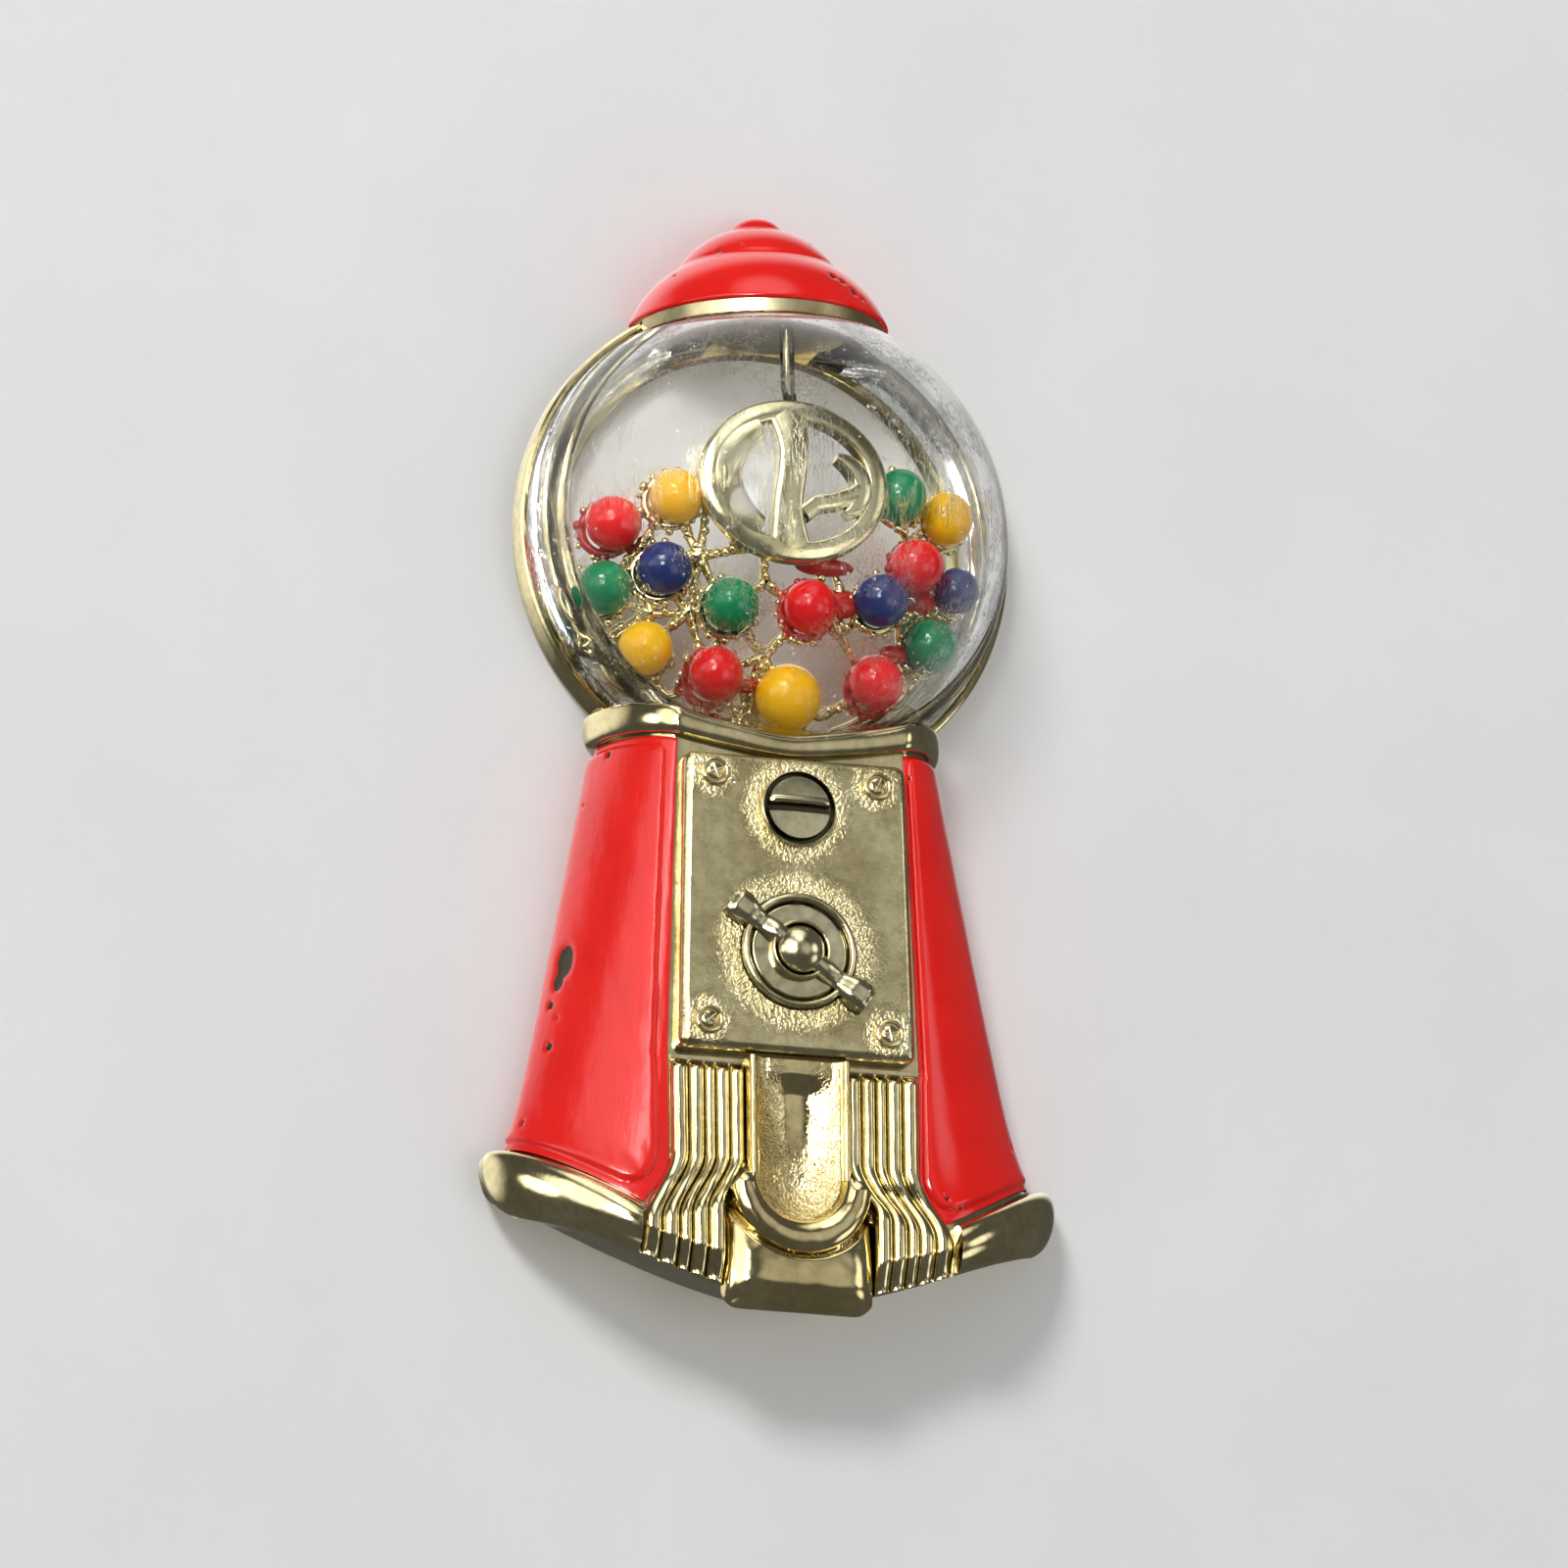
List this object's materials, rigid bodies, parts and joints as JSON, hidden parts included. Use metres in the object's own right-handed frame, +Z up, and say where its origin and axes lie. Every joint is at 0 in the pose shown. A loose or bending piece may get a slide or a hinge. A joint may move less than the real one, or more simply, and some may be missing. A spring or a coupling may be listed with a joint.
{
  "type": "novelty brooch",
  "caption": "Costume brooch in the shape of a gumball machine, with a clear dome over painted beads, a red and gold pedestal, and a hinged pin with a turning safety catch on its back.",
  "frame": {"origin": "middle of the pedestal's foot wall, on the back rim that lies against the garment", "axes": "+Z up to the cap, +X to the viewer's right, +Y back into the garment, so the face looks along -Y"},
  "size_m": [0.0296, 0.0131, 0.0572],
  "materials": {
    "gold_plate": "antique pale gold plate, polished, darker in the recesses",
    "red_enamel": "glossy poured enamel with small chips",
    "red_paint": "glossy",
    "yellow_paint": "glossy",
    "green_paint": "glossy",
    "navy_paint": "glossy",
    "clear_acrylic": "clear, polished, finely scratched",
    "steel": "gilt steel finding"
  },
  "bodies": {
    "brooch": {"cap_casting": "gold_plate", "cap_enamel": "red_enamel", "globe_ring": "gold_plate", "gumball_lattice": "gold_plate", "medallion": "gold_plate", "red_gumballs": "red_paint", "yellow_gumballs": "yellow_paint", "green_gumballs": "green_paint", "blue_gumballs": "navy_paint", "globe_dome": "clear_acrylic", "collar": "gold_plate", "pedestal_casting": "gold_plate", "foot_rolls": "gold_plate", "left_enamel_panel": "red_enamel", "right_enamel_panel": "red_enamel", "coin_plate": "gold_plate", "plate_screws": "gold_plate", "coin_entry": "gold_plate", "dial_ring": "gold_plate", "turn_handle": "gold_plate", "fluted_apron": "gold_plate", "chute_scoop": "gold_plate", "pin_base_bar": "steel", "pin_joint": "steel", "joint_rivet": "steel", "catch_housing": "steel"},
    "pin": {"pin_stem": "steel"},
    "catch": {"catch_rotor": "steel"}
  },
  "joints": [
    {"name": "pin_hinge", "type": "hinge", "parent": "brooch", "child": "pin", "pos_m": [0, -0.0015, 0.02165], "axis": [1, 0, 0], "range_deg": [0, 100]},
    {"name": "catch_turn", "type": "hinge", "parent": "brooch", "child": "catch", "pos_m": [0, -0.0015, 0.00395], "axis": [0, 0, -1], "range_deg": [0, 150]}
  ]
}
